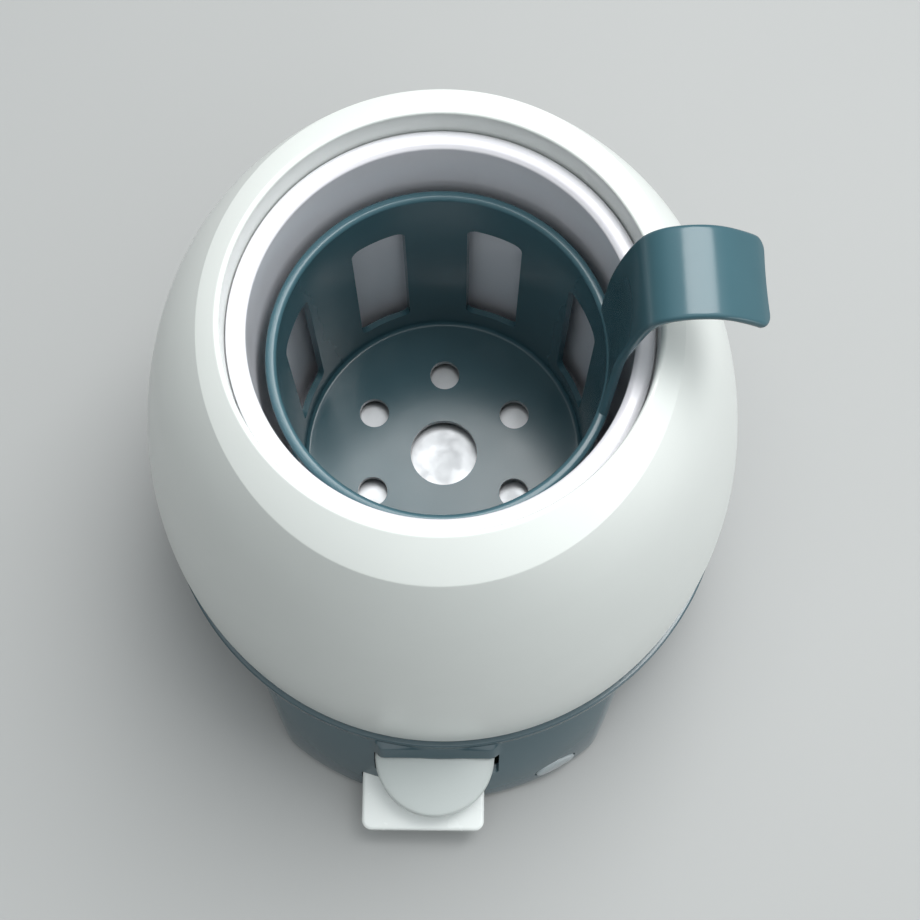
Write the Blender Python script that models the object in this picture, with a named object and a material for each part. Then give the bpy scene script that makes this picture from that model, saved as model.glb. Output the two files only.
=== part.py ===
"""Baby bottle warmer: egg-shaped shell on a grey-blue base, lift-out bottle
basket with a hook handle, half-hidden thumb dial on a front pod.

Sizes are in millimetres and are turned into metres when a mesh is made.
+Z is up and the front (the pod) faces -Y.  The base's resting plane is z = 0,
and the origin is the middle of the footprint; the axis of the egg stands
AXIS_Y behind it, because the pod and its tongue reach forward.
"""
import math

import bmesh
import bpy
from mathutils import Matrix, Vector

MM = 0.001

# ---------------------------------------------------------------- dimensions
GAP = 0.3                 # clearance between pieces that touch

BASE_R = 77.7             # base rim radius, the widest round part
PLATE_Y = -98.3           # front edge of the tongue under the dial
AXIS_Y = -(PLATE_Y + BASE_R) / 2.0     # egg axis behind the origin

PART_Z = 33.0             # parting line between shell and base
SHELL_R = 77.7            # radius of the ellipse the shell follows
EDGE_IN = 1.5             # the shell draws in by this towards its lower edge
EGG_H = 172.8             # half height of the egg's ellipse
WALL = 2.3                # shell wall
WELL_Z = 150.0            # edge of the well
WELL_R = 42.3             # well radius
CREASE = (54.75, 2.15, 152.0, -2.2)    # outer edge of the rim band: an oval, see crease()
RIM = (47.0, 158.9)       # inner top edge of the rim band
STEP_Z = 148.0            # foot of the step inside the rim

LINER_WALL = 1.8
LINER_FLOOR = 42.0        # underside of the liner
LINER_HOLE = 31.0

DECK_Z = 30.3             # underside of the base's deck
DECK_HOLE = 46.5
SPIGOT_R = 73.5
BASE_FOOT_R = 72.5        # base radius at its lower edge
BASE_TOP_R = 76.7         # base radius just under its rim ring
BASE_LOW_Z = 2.2
BASE_WALL = 2.3
COVER_Z = (2.2, 4.2)
FOOT_R = 6.0
FOOT_POS = [(45.0, 45.0), (-45.0, 45.0), (45.0, -42.0), (-45.0, -42.0)]
BOSS_POS = [(62.0, math.radians(a)) for a in (14.0, 166.0, 205.0, 335.0)]

POD_TOP_R = 77.4          # pod's front radius under the rim ring
POD_ARC = (22.6, 66.4)    # centre (-y) and radius of the pod's lower front edge
POD_TOP_Z = 30.0
POD_CORNER = (43.6, 72.8)     # front corner at the lower edge (x, -y)
POD_TOP_CORNER = (47.3, 61.1)     # the corner runs up to the rim ring
POD_ROOT = (52.4, 54.0, 50.0)     # where the pod's side leaves the round base

BROW_Y = -80.0                # straight lip of the pod over the dial
DIAL_X, DIAL_Y = -1.6, -79.0  # dial axis, from the egg axis
DIAL_R = 16.3
DIAL_Z = (18.0, 25.2)
SLOT_Z = (17.3, 25.7)
PLATE_X = (-21.7, 12.1)
PLATE_BACK = -77.5
PLATE_Z = (9.0, 13.0)

LENS_ANG = math.radians(22.0)  # lens azimuth, from -Y towards +X
LENS_Z = 7.6
LENS_HALF = (6.0, 2.9)

INLET_HALF_W = 15.0
INLET_Z = 17.0
INLET_FACE_Y = 77.5

BASKET_R = 38.9           # basket wall, outer radius
BASKET_WALL = 1.6
RING_R = 39.9             # top ring, outer radius
RING_Z = 133.0
BASKET_FLOOR = 46.2
HOOK_AZ = math.radians(3.0)
HOOK_HALF_W = 10.1
HOOK_T = 2.2
# inner and top face of the strap, from the ring up, over the rim and down
HOOK_PATH = [(38.0, 127.5), (38.2, 140.0), (38.7, 153.0), (39.8, 166.0),
             (41.6, 173.6), (44.6, 177.4), (48.2, 179.0), (51.8, 179.4),
             (55.6, 179.0), (59.4, 177.5), (63.4, 174.7), (66.0, 172.4),
             (67.6, 170.4)]

SEG = 40

# ------------------------------------------------------------------- helpers
for ob in list(bpy.data.objects):
    bpy.data.objects.remove(ob, do_unlink=True)

SCENE = bpy.context.scene.collection


def material(name, rgb, rough, metal=0.0):
    m = bpy.data.materials.new(name)
    m.use_nodes = True
    p = m.node_tree.nodes["Principled BSDF"]
    p.inputs["Base Color"].default_value = (rgb[0], rgb[1], rgb[2], 1.0)
    p.inputs["Roughness"].default_value = rough
    p.inputs["Metallic"].default_value = metal
    return m


LOOKS = {
    "white": ((0.86, 0.88, 0.86), 0.28, 0.0),
    "liner": ((0.88, 0.89, 0.91), 0.22, 0.0),
    "base": ((0.16, 0.24, 0.26), 0.22, 0.0),
    "basket": ((0.13, 0.24, 0.27), 0.18, 0.0),
    "dial": ((0.70, 0.72, 0.70), 0.35, 0.0),
    "rubber": ((0.10, 0.11, 0.12), 0.80, 0.0),
    "steel": ((0.62, 0.62, 0.63), 0.30, 1.0),
    "alu": ((0.72, 0.73, 0.74), 0.32, 1.0),
    "brass": ((0.72, 0.56, 0.28), 0.30, 1.0),
    "silicone": ((0.55, 0.20, 0.16), 0.60, 0.0),
    "ceramic": ((0.80, 0.78, 0.72), 0.55, 0.0),
    "black": ((0.03, 0.03, 0.035), 0.45, 0.0),
    "pcb": ((0.05, 0.22, 0.10), 0.45, 0.0),
    "lens": ((0.55, 0.30, 0.12), 0.10, 0.0),
    "wire_brown": ((0.22, 0.10, 0.05), 0.50, 0.0),
    "wire_blue": ((0.05, 0.15, 0.45), 0.50, 0.0),
    "wire_white": ((0.80, 0.80, 0.78), 0.50, 0.0),
}


def empty(name, loc, parent=None):
    e = bpy.data.objects.new(name, None)
    e.empty_display_size = 0.02
    e.location = Vector(loc) * MM
    if parent is not None:
        e.parent = parent
    SCENE.objects.link(e)
    return e


AXIS = empty("egg_axis", (0.0, AXIS_Y, 0.0))
DIAL_AXIS = empty("dial_axis", (DIAL_X, DIAL_Y, 0.0), AXIS)


def make(name, bm, look=None, parent=AXIS, smooth=30.0):
    bmesh.ops.remove_doubles(bm, verts=bm.verts, dist=1e-7)
    bmesh.ops.recalc_face_normals(bm, faces=bm.faces)
    twisted = [f for f in bm.faces if len(f.verts) == 4 and
               abs((f.verts[3].co - f.verts[0].co).dot(
                   (f.verts[1].co - f.verts[0].co).cross(f.verts[2].co - f.verts[0].co))) > 1e-12]
    if look is None and twisted:             # twisted quads upset a Boolean
        bmesh.ops.triangulate(bm, faces=twisted)
    me = bpy.data.meshes.new(name)
    bm.to_mesh(me)
    bm.free()
    ob = bpy.data.objects.new(name, me)
    ob.parent = parent
    SCENE.objects.link(ob)
    me.shade_smooth()
    me.set_sharp_from_angle(angle=math.radians(smooth))
    if look is None:
        ob.hide_render = True
        ob.display_type = "WIRE"
    else:
        me.materials.append(material(name, *LOOKS[look]))
    return ob


def lathe_bm(prof, seg=SEG, centre=(0.0, 0.0), bm=None, phase=0.0):
    """Turn a closed (radius, height) outline round a vertical axis."""
    bm = bm or bmesh.new()
    cols = []
    for r, z in prof:
        if r < 1e-6:
            cols.append([bm.verts.new((centre[0] * MM, centre[1] * MM, z * MM))])
        else:
            cols.append([bm.verts.new(((centre[0] + r * math.cos(phase + 2 * math.pi * i / seg)) * MM,
                                       (centre[1] + r * math.sin(phase + 2 * math.pi * i / seg)) * MM,
                                       z * MM)) for i in range(seg)])
    n = len(cols)
    for k in range(n):
        a, b = cols[k], cols[(k + 1) % n]
        if len(a) == 1 and len(b) == 1:
            continue
        for i in range(seg):
            j = (i + 1) % seg
            if len(a) == 1:
                bm.faces.new((a[0], b[i], b[j]))
            elif len(b) == 1:
                bm.faces.new((a[i], b[0], a[j]))
            else:
                bm.faces.new((a[i], b[i], b[j], a[j]))
    return bm


def lathe(name, prof, look=None, seg=SEG, centre=(0.0, 0.0), parent=AXIS, phase=0.0):
    return make(name, lathe_bm(prof, seg, centre, None, phase), look, parent)


def loft_bm(rings, bm=None):
    """Join closed rings of equal length and cap both ends."""
    bm = bm or bmesh.new()
    vs = [[bm.verts.new(Vector(p) * MM) for p in ring] for ring in rings]
    n = len(vs[0])
    for a, b in zip(vs, vs[1:]):
        for i in range(n):
            j = (i + 1) % n
            bm.faces.new((a[i], a[j], b[j], b[i]))
    bm.faces.new(vs[0][::-1])
    bm.faces.new(vs[-1])
    return bm


def box_bm(x0, x1, y0, y1, z0, z1, bm=None):
    return loft_bm([[(x0, y0, z), (x1, y0, z), (x1, y1, z), (x0, y1, z)] for z in (z0, z1)], bm)


def box(name, x0, x1, y0, y1, z0, z1, look=None, parent=AXIS):
    return make(name, box_bm(x0, x1, y0, y1, z0, z1), look, parent)


def round_rect(cx, cy, hx, hy, rad, n=4):
    pts = []
    for sx, sy, a0 in ((1, 1, 0), (-1, 1, 90), (-1, -1, 180), (1, -1, 270)):
        for k in range(n + 1):
            a = math.radians(a0 + 90.0 * k / n)
            pts.append((cx + sx * (hx - rad) + rad * math.cos(a),
                        cy + sy * (hy - rad) + rad * math.sin(a)))
    return pts


def cyl(name, c, r, z0, z1, look=None, seg=24, parent=AXIS, phase=0.11):
    """A plain cylinder, its corners turned off the directions of the lathe's."""
    bm = loft_bm([[(c[0] + r * math.cos(phase + 2 * math.pi * i / seg),
                    c[1] + r * math.sin(phase + 2 * math.pi * i / seg), z) for i in range(seg)]
                  for z in (z0, z1)])
    return make(name, bm, look, parent)


def boolean(ob, other, op):
    m = ob.modifiers.new(op.lower() + "_" + other.name, "BOOLEAN")
    m.operation = op
    m.solver = "EXACT"
    m.object = other


def cut(ob, other):
    boolean(ob, other, "DIFFERENCE")


def join(ob, other):
    boolean(ob, other, "UNION")


def bevel(ob, width, segs=2, angle=40.0):
    m = ob.modifiers.new("edge", "BEVEL")
    m.width = width * MM
    m.segments = segs
    m.limit_method = "ANGLE"
    m.angle_limit = math.radians(angle)


def tube(name, pts, radius, look, samples=22):
    """A lead along a smooth Catmull-Rom curve through the given points."""
    p = [Vector(q) for q in pts]
    p = [p[0] * 2 - p[1]] + p + [p[-1] * 2 - p[-2]]
    out = []
    spans = len(p) - 3
    per = max(2, samples // spans)
    for s in range(spans):
        a, b, c, d = p[s:s + 4]
        for k in range(per):
            t = k / per
            out.append(0.5 * ((2 * b) + (c - a) * t + (2 * a - 5 * b + 4 * c - d) * t * t
                              + (3 * b - a - 3 * c + d) * t ** 3))
    out.append(p[-2])
    cu = bpy.data.curves.new(name, "CURVE")
    cu.dimensions = "3D"
    cu.bevel_depth = radius * MM
    cu.bevel_resolution = 1
    cu.use_fill_caps = True
    sp = cu.splines.new("POLY")
    sp.points.add(len(out) - 1)
    for q, v in zip(sp.points, out):
        q.co = (v.x * MM, v.y * MM, v.z * MM, 1.0)
    ob = bpy.data.objects.new(name, cu)
    ob.parent = AXIS
    SCENE.objects.link(ob)
    cu.materials.append(material(name, *LOOKS[look]))
    return ob


def egg_r(z):
    """Shell radius at a height: an ellipse that draws in a little at its foot."""
    tuck = EDGE_IN * (max(0.0, 75.0 - z) / (75.0 - PART_Z)) ** 1.6
    return SHELL_R * math.sqrt(1.0 - ((z - PART_Z + 0.2) / EGG_H) ** 2) - tuck


def crease(a):
    """Radius and height of the rim band's outer edge, a few millimetres longer
    front to back than side to side and highest at the sides."""
    c = -math.cos(2 * a)
    return CREASE[0] + CREASE[1] * c, CREASE[2] + CREASE[3] * c


def shell_outline(a):
    """Closed section of the shell towards an azimuth."""
    cr, cz = crease(a)
    short = egg_r(cz) - cr
    side = []
    for z in (PART_Z, 46.0, 60.0, 77.0, 96.0, 112.0, 124.0, 134.5, 141.5):
        up = max(0.0, (z - 128.0) / (cz - 128.0))
        side.append((egg_r(z) - short * up ** 2.2, z))
    edge = [(cr + 0.5, cz - 0.9), (cr - 0.6, cz + 0.6)]
    rim = [(RIM[0] + 1.0, RIM[1] - 0.8), (RIM[0] + 0.5, RIM[1] - 0.3), (RIM[0], RIM[1] - 0.8),
           (RIM[0], STEP_Z), (RIM[0] + 2.0, STEP_Z), (RIM[0] + 2.0, 153.8),
           (52.0, 150.4), (56.2, 143.2), (59.4, 136.8)]
    inside = [(egg_r(z) - WALL, z) for z in (124.0, 96.0, 60.0, PART_Z)]
    return side + edge + rim + inside


# --------------------------------------------------------------- outer shell
bm = bmesh.new()
cols = []
for i in range(SEG):
    a = 2 * math.pi * i / SEG
    cols.append([bm.verts.new((r * math.cos(a) * MM, r * math.sin(a) * MM, z * MM)) for r, z in shell_outline(a)])
for i in range(SEG):
    p, q = cols[i], cols[(i + 1) % SEG]
    for k in range(len(p)):
        m = (k + 1) % len(p)
        bm.faces.new((p[k], q[k], q[m], p[m]))
outer_shell = make("outer_shell", bm, "white")

# --------------------------------------------------------------- the liner
lo = WELL_R + LINER_WALL
liner_prof = [(LINER_HOLE, LINER_FLOOR), (lo - 1.5, LINER_FLOOR), (lo, LINER_FLOOR + 1.5),
              (lo, 145.9), (51.5, 145.9), (51.5, STEP_Z - GAP), (46.6, STEP_Z - GAP),
              (46.6, 149.1), (45.8, 150.3), (44.4, 150.7), (43.1, 150.5), (WELL_R, 149.5),
              (WELL_R, LINER_FLOOR + 3.4), (WELL_R - 1.4, LINER_FLOOR + 2.0),
              (LINER_HOLE, LINER_FLOOR + 2.0)]
chamber_liner = lathe("chamber_liner", liner_prof, "liner")
CLAMP_R = 39.6
CLAMP_POS = [(CLAMP_R * math.cos(a), CLAMP_R * math.sin(a))
             for a in (math.radians(45 + 90 * i) for i in range(4))]
for i, c in enumerate(CLAMP_POS):
    b = cyl("liner_boss_%d" % i, c, 3.0, 38.5, 43.0, None, 16)
    join(chamber_liner, b)
for i in range(4):                        # legs that stand on the base's deck
    bm = box_bm(43.6, 52.0, -4.0, 4.0, PART_Z, 56.0)
    bmesh.ops.rotate(bm, verts=bm.verts, cent=(0, 0, 0), matrix=Matrix.Rotation(math.radians(90 * i), 3, "Z"))
    join(chamber_liner, make("liner_leg_%d" % i, bm))
for i, c in enumerate(CLAMP_POS):
    h = cyl("liner_bore_%d" % i, c, 1.6, 37.0, 42.6, None, 12)
    cut(chamber_liner, h)

# --------------------------------------------------------------- heater pack
lathe("heater_seal", [(31.6, 40.2), (36.0, 40.2), (36.0, 41.7), (31.6, 41.7)], "silicone", 32)
lathe("heater_plate", [(0, 41.6), (27.6, 41.6), (28.6, 40.9), (28.6, 38.4), (36.0, 38.4), (36.0, 39.9),
                       (30.1, 39.9), (30.1, 42.4), (29.3, 43.2), (0, 43.2)], "alu", 32)
clamp_ring = lathe("clamp_ring", [(31.0, 36.5), (43.2, 36.5), (43.2, 38.1), (31.0, 38.1)], "steel", 32)
for i, c in enumerate(CLAMP_POS):
    cut(clamp_ring, cyl("clamp_bore_%d" % i, c, 1.7, 35.0, 39.0, None, 12))
ANGLES = [math.radians(45 + 90 * i) for i in range(4)]
for i, c in enumerate(CLAMP_POS):
    drop = 1.3 if i in (0, 2) else 0.0       # two screws also hold the bracket
    lathe("clamp_screw_%d" % (i + 1),
          [(0, 34.4 - drop), (1.6, 34.4 - drop), (2.8, 35.2 - drop), (2.8, 36.2 - drop),
           (1.3, 36.2 - drop), (1.3, 41.8 - drop), (0, 42.2 - drop)], "steel", 10, c)

# element pressed up against the plate by a bent bracket
box("heating_element", -9.0, 9.0, -9.0, 9.0, 38.0, 41.3, "ceramic")
bracket_line = [(-42.4, 35.2), (-29.5, 35.2), (-22.0, 36.9), (22.0, 36.9), (29.5, 35.2), (42.4, 35.2)]
bm = bmesh.new()
ring = [(x, -3.5, z) for x, z in bracket_line] + [(x, -3.5, z + 0.8) for x, z in bracket_line[::-1]]
loft_bm([ring, [(x, 3.5, z) for x, _, z in ring]], bm)
bmesh.ops.rotate(bm, verts=bm.verts, cent=(0, 0, 0), matrix=Matrix.Rotation(math.radians(45), 3, "Z"))
bracket = make("element_bracket", bm, "steel")
for i in (0, 2):
    cut(bracket, cyl("bracket_bore_%d" % i, CLAMP_POS[i], 1.7, 33.0, 38.0, None, 12))

TH = (-14.6, 14.6)
thermostat = lathe("thermostat", [(0, 33.0), (5.6, 33.0), (5.6, 36.4), (7.0, 36.4), (7.0, 41.3), (0, 41.3)],
                   "black", 24, TH)
for i, dx in enumerate((-3.2, 3.2)):
    join(thermostat, box("thermostat_tab_%d" % i, TH[0] + dx - 0.4, TH[0] + dx + 0.4,
                         TH[1] - 2.4, TH[1] + 2.4, 28.0, 34.0))
bm = lathe_bm([(0, -6.0), (1.3, -5.6), (2.0, -4.6), (2.0, 4.6), (1.3, 5.6), (0, 6.0)], 14)
bmesh.ops.rotate(bm, verts=bm.verts, cent=(0, 0, 0), matrix=Matrix.Rotation(math.radians(90), 3, "Y"))
bmesh.ops.translate(bm, verts=bm.verts, vec=Vector((14.5, -15.5, 39.0)) * MM)
make("thermal_fuse", bm, "alu")

# --------------------------------------------------------------- base housing


def pod_t(z):
    """How far the pod has spread at a height: 0 under the ring, 1 at its foot."""
    t = (POD_TOP_Z - z) / (POD_TOP_Z - BASE_LOW_Z)
    return t * (1.0 + 0.64 * (1.0 - t))


def pod_r(phi, z):
    """Radius of the pod's sloping front face towards an azimuth, 0 at the front."""
    low = POD_ARC[0] * math.cos(phi) + math.sqrt(POD_ARC[1] ** 2 - (POD_ARC[0] * math.sin(phi)) ** 2)
    return POD_TOP_R + (low - POD_TOP_R) * pod_t(z)


def pod_ring(z, inset, n=14):
    """Plan outline of the pod at a height, drawn in by the inset."""
    t = pod_t(z)
    cx = POD_TOP_CORNER[0] + (POD_CORNER[0] - POD_TOP_CORNER[0]) * t - inset
    cy = POD_TOP_CORNER[1] + (POD_CORNER[1] - POD_TOP_CORNER[1]) * t - inset
    rx, ry = POD_ROOT[1] + (POD_ROOT[0] - POD_ROOT[1]) * t - inset, POD_ROOT[2]
    right = [(rx - 2.0, -30.0), (rx, -ry), (cx + 0.7, -(cy - 1.8)), (cx - 0.2, -(cy - 0.5))]
    a1 = 0.5
    for _ in range(8):
        a1 = math.asin((cx - 1.7) / (pod_r(a1, z) - inset))
    arc = []
    for k in range(n):
        a = a1 - 2 * a1 * k / (n - 1)
        r = pod_r(a, z) - inset
        arc.append((r * math.sin(a), -r * math.cos(a)))
    left = [(-x, y) for x, y in right[::-1]]
    return [(x, y, z) for x, y in right + arc + left]


housing = lathe("base_housing", [(0, BASE_LOW_Z + 0.4), (BASE_FOOT_R - 1.0, BASE_LOW_Z + 0.4),
                                 (BASE_FOOT_R, BASE_LOW_Z + 1.6),
                                 (BASE_TOP_R, 29.0), (BASE_R, 30.0), (BASE_R, 31.9), (BASE_R - 0.8, PART_Z - GAP),
                                 (SPIGOT_R, PART_Z - GAP), (SPIGOT_R, 36.4), (SPIGOT_R - 0.6, 37.0),
                                 (SPIGOT_R - 2.0, 37.0), (SPIGOT_R - 2.0, PART_Z - GAP), (0, PART_Z - GAP)],
                "base")
pod = make("pod_solid", loft_bm([pod_ring(BASE_LOW_Z, 0.9)] + [pod_ring(z, 0.0) for z in (BASE_LOW_Z + 1.2, 9.0, 16.0, 23.0, POD_TOP_Z)]))
join(housing, pod)
lip = [(-74.0, 25.4), (BROW_Y, 25.4), (BROW_Y, 26.6), (BROW_Y + 2.1, 29.8), (-74.0, 29.8)]
join(housing, make("brow_solid", loft_bm([[(x, y, z) for y, z in lip] for x in (-18.4, 16.2)])))
inlet_block = make("inlet_block", loft_bm(
    [[(x, y, z) for x, z in round_rect(0, INLET_Z, INLET_HALF_W, 11.0, 2.5)] for y in (61.3, INLET_FACE_Y)]))
join(housing, inlet_block)
cavity = lathe("cavity", [(0, -2.0), (BASE_FOOT_R - BASE_WALL, -2.0), (BASE_FOOT_R - BASE_WALL, BASE_LOW_Z + 2.4),
                          (BASE_TOP_R - BASE_WALL, 29.0), (BASE_TOP_R - BASE_WALL - 1.2, DECK_Z), (0, DECK_Z)],
               phase=0.05)
join(cavity, make("pod_cavity", loft_bm([pod_ring(z, BASE_WALL) for z in (-1.5, 4.6, 9.0, 16.0, 23.0, POD_TOP_Z - 2.4)])))
join(cavity, box("inlet_cavity", -12.9, 12.9, 55.0, INLET_FACE_Y - 2.2, INLET_Z - 8.9, INLET_Z + 8.9))
cut(housing, cavity)
cut(housing, box("dial_slot", DIAL_X - DIAL_R - 0.5, DIAL_X + DIAL_R + 1.3, -99.0, -70.0,
                 SLOT_Z[0], SLOT_Z[1]))
cut(housing, cyl("deck_hole", (0, 0), DECK_HOLE, 26.0, 40.0, None, SEG))
cut(housing, cyl("spindle_room", (DIAL_X, DIAL_Y), 2.1, 12.6, 18.0, None, 20))
for i, (r, a) in enumerate(BOSS_POS):
    c = (r * math.cos(a), r * math.sin(a))
    join(housing, cyl("cover_boss_%d" % i, c, 4.0, 4.6, 31.4, None, 16))
for i, (r, a) in enumerate(BOSS_POS):
    c = (r * math.cos(a), r * math.sin(a))
    cut(housing, cyl("cover_bore_%d" % i, c, 1.6, 3.0, 17.0, None, 12))
# slot for the dial, slot for the tongue, window for the lens, inlet hole
cut(housing, box("tongue_slot", PLATE_X[0] - GAP, PLATE_X[1] + GAP, -99.0, -76.5,
                 PLATE_Z[0] - GAP, PLATE_Z[1] + GAP))


def lens_frame():
    """Middle, outward normal and two tangents of the pod's face at the lens."""
    def at(phi, z):
        r = pod_r(phi, z)
        return Vector((r * math.sin(phi), -r * math.cos(phi), z))
    u = (at(LENS_ANG + 0.01, LENS_Z) - at(LENS_ANG - 0.01, LENS_Z)).normalized()
    v = (at(LENS_ANG, LENS_Z + 0.5) - at(LENS_ANG, LENS_Z - 0.5)).normalized()
    n = u.cross(v).normalized()
    return at(LENS_ANG, LENS_Z), n, u, n.cross(u)


def lens_ring(off, grow, n=28):
    c, nn, u, v = lens_frame()
    return [tuple(c + nn * off + u * ((LENS_HALF[0] + grow) * math.cos(2 * math.pi * k / n))
                  + v * ((LENS_HALF[1] + grow) * math.sin(2 * math.pi * k / n))) for k in range(n)]


cut(housing, make("lens_window", loft_bm([lens_ring(-6.0, GAP), lens_ring(6.0, GAP)])))
cut(housing, box("inlet_hole", -11.2, 11.2, 70.0, 85.0, INLET_Z - 6.5, INLET_Z + 6.5))

make("indicator_lens", loft_bm([lens_ring(-2.6, 0.0), lens_ring(0.1, 0.0), lens_ring(0.5, -0.5),
                                lens_ring(0.75, -1.6)]), "lens")

# --------------------------------------------------------------- base cover
cover = lathe("base_cover", [(0, COVER_Z[0]), (BASE_FOOT_R - BASE_WALL - 1.5 * GAP, COVER_Z[0]),
                             (BASE_FOOT_R - BASE_WALL - 1.5 * GAP, COVER_Z[1]), (0, COVER_Z[1])], "base")
join(cover, make("cover_pod", loft_bm([pod_ring(COVER_Z[0], BASE_WALL + 2 * GAP), pod_ring(COVER_Z[1], BASE_WALL + 2 * GAP)])))
for i, (r, a) in enumerate(BOSS_POS):
    c = (r * math.cos(a), r * math.sin(a))
    cut(cover, cyl("cover_hole_%d" % i, c, 1.7, 0.0, 6.0, None, 12))
    lathe("cover_screw_%d" % (i + 1),
          [(0, 0.35), (2.0, 0.35), (2.9, 0.9), (2.9, 1.9), (1.3, 1.9), (1.3, 14.0), (0, 14.6)],
          "steel", 12, c)
for i, c in enumerate(FOOT_POS):
    cut(cover, cyl("foot_hole_%d" % i, c, 2.3, 0.0, 6.0, None, 16))
    lathe("rubber_foot_%d" % (i + 1),
          [(0, 0), (FOOT_R - 0.6, 0), (FOOT_R, 0.6), (FOOT_R - 0.3, 1.9), (2.0, 1.9), (2.0, 4.5),
           (2.7, 4.8), (1.6, 6.2), (0, 6.2)], "rubber", 16, c)
for i, c in enumerate([(-14.0, -62.0), (30.6, -62.0), (-14.0, -77.6), (27.0, -71.8)]):
    join(cover, cyl("board_post_%d" % i, c, 2.0, 3.2, 5.6 - GAP, None, 12))
for i in range(6):
    x = (i - 2.5) * 7.0
    cut(cover, make("vent_cutter_%d" % i, loft_bm(
        [[(px, py, z) for px, py in round_rect(x, 38.0, 1.5, 9.0, 1.4, 2)] for z in (0.0, 6.0)])))

# --------------------------------------------------------------- the dial
lathe("temperature_dial", [(0, DIAL_Z[0]), (DIAL_R - 1.0, DIAL_Z[0]), (DIAL_R, DIAL_Z[0] + 0.9),
                           (DIAL_R, DIAL_Z[1] - 3.2), (DIAL_R - 0.6, DIAL_Z[1] - 2.3), (DIAL_R - 1.8, DIAL_Z[1] - 1.6),
                           (DIAL_R - 6.5, DIAL_Z[1] - 0.5), (0, DIAL_Z[1])], "dial", 40, parent=DIAL_AXIS)
lathe("dial_spindle", [(0, 13.6), (1.5, 13.6), (1.5, DIAL_Z[0] - GAP), (0, DIAL_Z[0] - GAP)],
      "steel", 16, parent=DIAL_AXIS)

# tongue below the dial: a rounded plate that plugs into the pod's wall
px0, px1 = PLATE_X
plate = make("dial_plate", loft_bm(
    [[(x, y, z) for x, y in round_rect((px0 + px1) / 2, (PLATE_Y + PLATE_BACK) / 2, (px1 - px0) / 2 - e,
                                       (PLATE_BACK - PLATE_Y) / 2 - e, 2.6 - e, 4)]
     for z, e in ((PLATE_Z[0], 0.5), (PLATE_Z[0] + 0.5, 0.0), (PLATE_Z[1] - 0.7, 0.0), (PLATE_Z[1], 0.7))]), "white")
cut(plate, box("plate_notch", DIAL_X - 5.6, DIAL_X + 5.6, -81.8, -76.0, 8.0, 14.0))

# --------------------------------------------------------------- electrics
board = make("control_board", loft_bm(
    [[(x, y, z) for x, y in ((-17.0, -59.5), (-17.0, -80.6), (14.0, -80.6), (20.0, -74.6), (33.6, -74.6), (33.6, -59.5))]
     for z in (5.6, 7.2)]), "pcb")
SW = (DIAL_X, DIAL_Y)
selector = box("dial_switch", SW[0] - 5.0, SW[0] + 5.0, SW[1] - 2.2, SW[1] + 7.5, 7.5, 13.3, "black")
LED = (28.9, -71.8)
lathe("indicator_lamp", [(0, 7.5), (2.4, 7.5), (2.4, 8.5), (2.0, 8.7), (2.0, 10.4), (1.3, 11.6), (0, 12.0)],
      "ceramic", 16, LED)
box("board_relay", 8.0, 20.0, -74.5, -63.5, 7.5, 14.5, "black")

inlet = make("mains_inlet", loft_bm(
    [[(x, y, z) for x, z in round_rect(0, INLET_Z, hx, hz, 1.2, 2)]
     for y, hx, hz in ((59.0, 10.9, 6.2), (INLET_FACE_Y - 4.6, 10.9, 6.2))]), "black")
join(inlet, make("inlet_flange", loft_bm(
    [[(x, y, z) for x, z in round_rect(0, INLET_Z, 12.4, 8.4, 1.2, 2)]
     for y in (INLET_FACE_Y - 5.2, INLET_FACE_Y - 2.2 - GAP)])))
join(inlet, make("inlet_nose", loft_bm(
    [[(x, y, z) for x, z in round_rect(0, INLET_Z, 10.9, 6.2, 1.2, 2)] for y in (INLET_FACE_Y - 3.6, INLET_FACE_Y)])))
PIN_X = 4.3
bm = bmesh.new()
socket = [(x, INLET_FACE_Y - 13.0, z) for x, z in round_rect(0, INLET_Z, 8.6, 4.3, 4.25, 5)]
loft_bm([socket, [(x, INLET_FACE_Y + 3.0, z) for x, _, z in socket]], bm)
cut(inlet, make("socket_cutter", bm))
for i, sx in enumerate((-1, 1)):
    for nm, rad, y0, y1, look in (("pin_bore_%d" % i, 1.5, 56.0, INLET_FACE_Y - 10.0, None),
                                  ("inlet_pin_%d" % (i + 1), 1.2, 55.4, INLET_FACE_Y - 1.5, "brass")):
        bm = lathe_bm([(0, 0.0), (rad, 0.0), (rad, y1 - y0 - (0.6 if look else 0)),
                       (rad * (0.5 if look else 1.0), y1 - y0), (0, y1 - y0)], 12)
        bmesh.ops.rotate(bm, verts=bm.verts, cent=(0, 0, 0), matrix=Matrix.Rotation(math.radians(-90), 3, "X"))
        bmesh.ops.translate(bm, verts=bm.verts, vec=Vector((sx * PIN_X, y0, INLET_Z)) * MM)
        ob = make(nm, bm, look)
        if look is None:
            cut(inlet, ob)

tube("lead_live", [(-4.3, 54.9, 17.0), (-4.6, 48.0, 17.0), (-14.0, 30.0, 13.0), (-26.0, 5.0, 10.0),
                   (-24.0, -30.0, 9.5), (-13.0, -52.0, 11.5), (-12.0, -62.0, 11.0), (-12.0, -66.0, 7.7)], 0.9, "wire_brown")
tube("lead_neutral", [(4.3, 54.9, 17.0), (4.6, 48.0, 17.0), (16.0, 30.0, 13.0), (29.0, 5.0, 10.0),
                      (32.0, -30.0, 9.5), (29.0, -52.0, 11.5), (28.0, -62.0, 11.0), (28.0, -66.0, 7.7)], 0.9, "wire_blue")
tube("heater_lead_1", [(-6.0, -66.0, 7.7), (-6.0, -62.0, 12.0), (-12.0, -45.0, 18.0), (-20.0, -18.0, 22.0),
                       (-18.6, 6.0, 22.0), (-17.8, 14.6, 23.0), (-17.8, 14.6, 27.6)], 0.9, "wire_white")
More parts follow.
